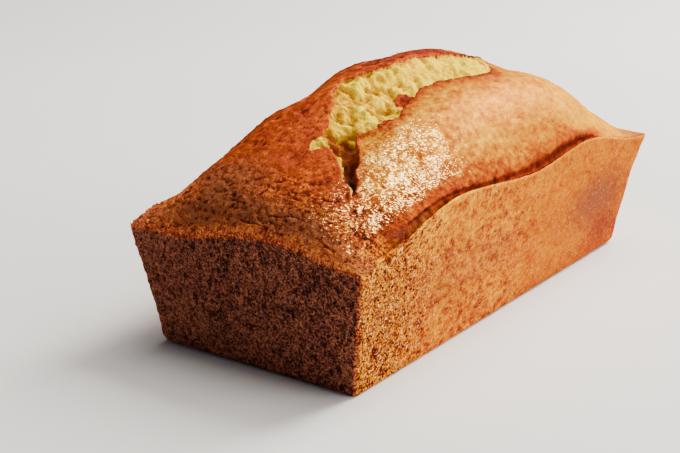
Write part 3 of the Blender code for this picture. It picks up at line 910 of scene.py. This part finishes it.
class Finish:
    """A material and the nodes that it is made of."""

    def __init__(self, name):
        self.material = bpy.data.materials.new(name)
        self.material.use_nodes = True
        self.tree = self.material.node_tree
        self.tree.nodes.clear()
        self.place = self.node("TexCoord", {}, {}, "Object")
        self.long_place = self.stretched(self.place, (0.75, 1, 1))

    def stretched(self, place, shares):
        """The place with each axis scaled by a share: noise there is longer where the share is small."""
        return self.node("VectorMath", {"operation": "MULTIPLY"}, {0: place, 1: shares})

    def turned(self, place, degrees):
        """The place turned about the vertical."""
        sockets = {"Vector": place, "Angle": math.radians(degrees)}
        return self.node("VectorRotate", {"rotation_type": "Z_AXIS"}, sockets)

    def cells(self, size):
        """Distance from the middle of the cell, in cells of about a size in metres."""
        return self.node("TexVoronoi", {}, {"Vector": self.place, "Scale": 1 / size})

    def node(self, kind, settings, sockets, output=0):
        """Adds a node and returns one of its outputs, or nothing where it has none."""
        node = self.tree.nodes.new("ShaderNode" + kind)
        for name, value in settings.items():
            if name == "stops":
                self.set_stops(node.color_ramp, value)
            else:
                setattr(node, name, value)
        for name, value in sockets.items():
            self.plug(node.inputs[name], value)
        return Value(self, node.outputs[output]) if output is not None else None

    def set_stops(self, ramp, stops):
        while len(ramp.elements) < len(stops):
            ramp.elements.new(1.0)
        for element, (place, colour) in zip(ramp.elements, stops):
            element.position, element.color = place, (*colour, 1)

    def plug(self, socket, value):
        if isinstance(value, Value):
            self.tree.links.new(value.socket, socket)
        else:
            socket.default_value = value

    def surface(self, sockets):
        return self.node("BsdfPrincipled", {}, sockets)

    def done(self, surface):
        self.node("OutputMaterial", {}, {"Surface": surface}, None)
        return self.material

    def mask(self, name):
        return self.node("Attribute", {"attribute_name": name}, {}, "Fac")

    def noise(self, size, detail=2.0, roughness=0.5, place=None):
        """Soft noise around 0, mostly from -1 to 1, with lumps of about a size in metres."""
        raw = self.node("TexNoise", {}, {
            "Vector": place or self.place, "Scale": 1 / size, "Detail": detail, "Roughness": roughness,
        })
        return self.node("Math", {"operation": "MULTIPLY_ADD"}, {0: raw, 1: 4.0, 2: -2.0})

    def ease(self, value, low, high):
        """0 where the value is at low, 1 where it is at high."""
        sockets = {"Value": value, "From Min": low, "From Max": high}
        return self.node("MapRange", {"interpolation_type": "SMOOTHSTEP"}, sockets)

    def ramp(self, value, stops, colours):
        return self.node("ValToRGB", {"stops": tuple(zip(stops, colours))}, {"Fac": value})

    def mix(self, factor, first, second):
        sockets = {0: factor, 6: self.colour(first), 7: self.colour(second)}
        return self.node("Mix", {"data_type": "RGBA", "clamp_factor": True}, sockets, 2)

    def colour(self, value):
        return value if isinstance(value, Value) else (*value, 1)

    def blend(self, factor, first, second):
        """Two surfaces mixed."""
        return self.node("MixShader", {}, {0: factor, 1: first, 2: second})

    def bump(self, height):
        """Raises the surface by a height in millimetres."""
        return self.node("Bump", {}, {"Height": height, "Strength": 1.0, "Distance": 0.001})


# Colours of each part of the crust over its tone. Each part after the top lies over the ones before it.
EVEN_STOPS = (0.0, 0.25, 0.5, 0.75, 1.0)
TOP_COLOURS = (
    (0.03, 0.008, 0.008), (0.14, 0.02, 0.013), (0.33, 0.043, 0.01), (0.52, 0.09, 0.01),
    (0.85, 0.3, 0.008),
)
PART_COLOURS = (
    ("flank", EVEN_STOPS, (
        (0.08, 0.013, 0.01), (0.19, 0.026, 0.01), (0.37, 0.074, 0.004), (0.59, 0.24, 0.003),
        (0.9, 0.44, 0.006),
    )),
    # Darker colours of the crease, partly painted shade.
    ("groove", EVEN_STOPS, (
        (0.04, 0.009, 0.005), (0.15, 0.018, 0.008), (0.31, 0.037, 0.009), (0.5, 0.098, 0.003),
        (0.74, 0.28, 0.003),
    )),
    ("side", (0.0, 0.25, 0.4, 0.52, 0.85, 1.0), (
        (0.06, 0.01, 0.007), (0.19, 0.018, 0.01), (0.36, 0.046, 0.011), (0.54, 0.143, 0.002),
        (0.94, 0.405, 0.001), (1.0, 0.56, 0.05),
    )),
    ("end", EVEN_STOPS, (
        (0.018, 0.006, 0.005), (0.05, 0.013, 0.01), (0.135, 0.038, 0.025), (0.24, 0.08, 0.044),
        (0.46, 0.13, 0.06),
    )),
    ("rim", EVEN_STOPS, (
        (0.08, 0.016, 0.01), (0.21, 0.029, 0.016), (0.44, 0.068, 0.026), (0.74, 0.145, 0.036),
        (1.0, 0.34, 0.06),
    )),
)
# A dusky mauve-brown, mixed in by the dusk mask: real mauve patches of the side walls, and a painted shade
# tint on parts in shade, such as the dome's front and near foot and the back wall.
DUSKY_BROWN = (0.26, 0.08, 0.034)
# Pale specks of the walls, partly sugar and partly painted glints.
PALE_GRAIN = (1.0, 0.62, 0.3)

# Colours of the crumb, from its lumps down into its gaps, darker in the gaps as painted shade, and of its
# browned edges and its deep end, which is partly toasted and partly painted shade
CRUMB_STOPS = (0.1, 0.42, 0.68, 1.0)
CRUMB_COLOURS = ((1.0, 0.74, 0.0), (0.98, 0.6, 0.0), (0.68, 0.34, 0.0), (0.3, 0.125, 0.002))
TORN_BROWN, TOASTED_AND_SHADED_BROWN, BAKED_AND_SHADED_BROWN = (0.46, 0.15, 0.008), (0.33, 0.078, 0.014), (0.14, 0.034, 0.026)
GLAZE_COLOUR, GLINT_COLOUR, MOIST_COLOUR = (1.0, 0.38, 0.05), (1.0, 0.7, 0.24), (1.0, 0.6, 0.0)


def crumb_colour(finish, grains, torn_edge, deep):
    """Colour of the torn crumb: yellow lumps, brown gaps darkened as painted shade, brown edges, and the
    deep end, partly toasted and partly painted shade.
    """
    dust, grain, pebbles, patches = grains
    hollow = finish.mask("hollow") + dust * 0.12 + grain * 0.1 + pebbles * 0.2 + patches * 0.14
    colour = finish.ramp(hollow, CRUMB_STOPS, CRUMB_COLOURS)
    colour = finish.mix(finish.ease(torn_edge + pebbles * 0.12, 0.5, 1.0), colour, TORN_BROWN)
    colour = finish.mix(finish.ease(deep + pebbles * 0.1, 0.2, 0.4), colour, TOASTED_AND_SHADED_BROWN)
    return finish.mix(finish.ease(deep + pebbles * 0.1, 0.5, 0.9), colour, BAKED_AND_SHADED_BROWN)


def crust_finish():
    """Matte baked crust and crumb with a patchy glaze over them."""
    finish = Finish("baked_crust")
    tone, speckle, mottle, dusk = map(finish.mask, ("tone", "speckle", "mottle", "dusk"))
    gloss, spark, crack, side = map(finish.mask, ("gloss", "spark", "crack", "side"))
    crumb, deep, torn_edge = map(finish.mask, ("crumb", "deep", "torn"))

    dust = finish.noise(0.0008, 2.0, 0.7)
    grain = finish.noise(0.002, 2.0, 0.6, finish.long_place)
    pebbles = finish.noise(0.0036, 2.0, 0.5, finish.long_place)
    patches = finish.noise(0.013, 2.0, 0.5, finish.long_place)
    gaps = finish.ease(finish.cells(0.0013) + dust * 0.1, 0.34, 0.62)
    # Pores and holes, and the cracks and pits of the mesh, are darkened as painted shade in these recesses.
    pores = finish.ease(finish.noise(0.0017, 1.0, 0.5, finish.long_place), 0.34, 0.52)
    holes = finish.ease(finish.noise(0.0034, 1.0, 0.5, finish.long_place) + dust * 0.1, 0.55, 0.7)
    dark = (pores * 0.7 + holes * 0.7) * (0.1 + speckle * 0.9) + crack * (0.35 + speckle * 0.6)
    dark = finish.ease(dark, 0.0, 1.0)
    # The crease's dark line, partly painted shade.
    crease_line = finish.ease(abs(finish.mask("shelf")) + pebbles * 0.3 + dust * 0.1, 1.9, 0.3)

    tone = tone + (dust * 0.62 + grain * 0.1 - gaps * 0.16 + 0.1) * speckle
    tone = tone + (grain * 0.12 + pebbles * 0.14 + patches * (0.09 - side * 0.04)) * mottle
    tone = tone - dark * 0.3 - torn_edge * 0.06 - crease_line * 0.36 + 0.02
    crust = finish.ramp(tone, EVEN_STOPS, TOP_COLOURS)
    for part, stops, colours in PART_COLOURS:
        crust = finish.mix(finish.mask(part), crust, finish.ramp(tone, stops, colours))
    crust = finish.mix(dusk * (1 - dark), crust, DUSKY_BROWN)
    # Pale specks on the walls: partly sugar grains, partly painted glints.
    sugar_and_painted_glints = finish.ease(finish.noise(0.0013, 1.0, 0.5), 0.56, 0.8) * (speckle * 0.85 + 0.12)
    sugar_and_painted_glints = sugar_and_painted_glints * side * (1 - finish.mask("top"))
    crust = finish.mix(sugar_and_painted_glints * 0.8, crust, PALE_GRAIN)
    inner = finish.ease(crumb + grain * 0.2, 0.3, 0.6)
    torn = crumb_colour(finish, (dust, grain, pebbles, patches), torn_edge, deep)

    wrinkled = finish.stretched(finish.turned(finish.place, 55), (0.4, 1, 1))
    wrinkles = finish.noise(0.00062, 2.0, 0.55, wrinkled)
    glints = wrinkles + grain * 0.2 + pebbles * 0.3 + patches * 0.2 - (1 - spark) * 0.9
    glints = finish.ease(glints, 0.03, 0.47) * finish.ease(spark, 0.0, 0.2)
    fine = (dust * 0.1 + grain * 0.22) * (0.25 + speckle * 0.75)
    fine = fine + (pebbles * 0.25 + wrinkles * 0.12) * spark
    normal = finish.bump(fine - dark * 0.35 + dust * crumb * 0.15)
    matte = finish.surface({
        "Base Color": finish.mix(inner, crust, torn),
        "Roughness": 0.9,
        "Specular IOR Level": 0.0,
        "Normal": normal,
    })
    glaze = finish.surface({
        "Base Color": finish.mix(inner, finish.mix(glints, GLAZE_COLOUR, GLINT_COLOUR), MOIST_COLOUR),
        "Roughness": 0.36 - glints * 0.16,
        "Metallic": 1.0,
        "Normal": normal,
    })
    shine = gloss * (0.1 + pebbles * 0.03 + grain * 0.02) + glints * (spark * 0.35 + 0.55)
    shine = shine * (1 - inner) * (1 - dark) * (1 - torn_edge)
    shine = shine + inner * finish.ease(deep, 0.3, 0.0) * (0.06 + pebbles * 0.05)
    return finish.done(finish.blend(shine, matte, glaze))


# The camera that matches the photo: its place in metres and its direction, lens and sensor in millimetres
CAMERA_PLACE, CAMERA_FORWARD = (-0.56672, -0.35665, 0.24991), (0.77893, 0.54346, -0.31291)
LENS_LENGTH, SENSOR_WIDTH = 50, 22.3

# Soft boxes: azimuth from +X towards +Y and elevation in degrees, width and height in metres, and watts
LIGHTS = (
    ("window", -18, 40, 0.7, 1.6, 90),
    ("side", -75, 25, 1.2, 1.0, 22),
    ("top", -20, 78, 1.5, 1.5, 30),
)
LIGHT_DISTANCE, LIGHT_AIM = 1.8, (0, 0, 0.05)
LIGHT_COLOUR = (1.0, 0.94, 0.86)
SKY_COLOUR, SKY_STRENGTH = (0.88, 0.86, 1.0, 1), 0.1
CLOTH_COLOURS = ((0.8, 0.8, 0.79), (0.84, 0.84, 0.83))


def add_camera():
    camera = bpy.data.objects.new("camera", bpy.data.cameras.new("camera"))
    camera.data.lens = LENS_LENGTH
    camera.data.sensor_width = SENSOR_WIDTH
    forward = Vector(CAMERA_FORWARD)
    right = forward.cross(Vector((0, 0, 1))).normalized()
    turn = Matrix((right, right.cross(forward), -forward)).transposed().to_4x4()
    camera.matrix_world = Matrix.Translation(CAMERA_PLACE) @ turn
    camera.data.clip_start = 0.01
    bpy.context.scene.collection.objects.link(camera)
    bpy.context.scene.camera = camera


def add_light(name, azimuth, elevation, width, height, power):
    """A soft box that looks at the loaf."""
    light = bpy.data.objects.new(name, bpy.data.lights.new(name, "AREA"))
    light.data.shape = "RECTANGLE"
    light.data.size, light.data.size_y = width, height
    light.data.energy, light.data.color = power, LIGHT_COLOUR
    around, up = math.radians(azimuth), math.radians(elevation)
    away = Vector((math.cos(around) * math.cos(up), math.sin(around) * math.cos(up), math.sin(up)))
    light.location = away * LIGHT_DISTANCE + Vector(LIGHT_AIM)
    light.rotation_euler = away.to_track_quat("Z", "Y").to_euler()
    bpy.context.scene.collection.objects.link(light)


def add_floor():
    mesh = bmesh.new()
    bmesh.ops.create_grid(mesh, x_segments=8, y_segments=8, size=4)
    floor = add_mesh("floor", mesh)
    finish = Finish("floor")
    cloth = finish.mix(finish.noise(0.4) + 0.5, *CLOTH_COLOURS)
    floor.data.materials.append(finish.done(finish.surface({"Base Color": cloth, "Roughness": 0.9})))


def add_world():
    world = bpy.data.worlds.new("studio")
    world.use_nodes = True
    background = world.node_tree.nodes["Background"]
    background.inputs["Color"].default_value = SKY_COLOUR
    background.inputs["Strength"].default_value = SKY_STRENGTH
    bpy.context.scene.world = world


loaf = build_loaf()
loaf.data.materials.append(crust_finish())
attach(loaf, "root")
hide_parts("loaf")

add_camera()
for box in LIGHTS:
    add_light(*box)
add_floor()
add_world()
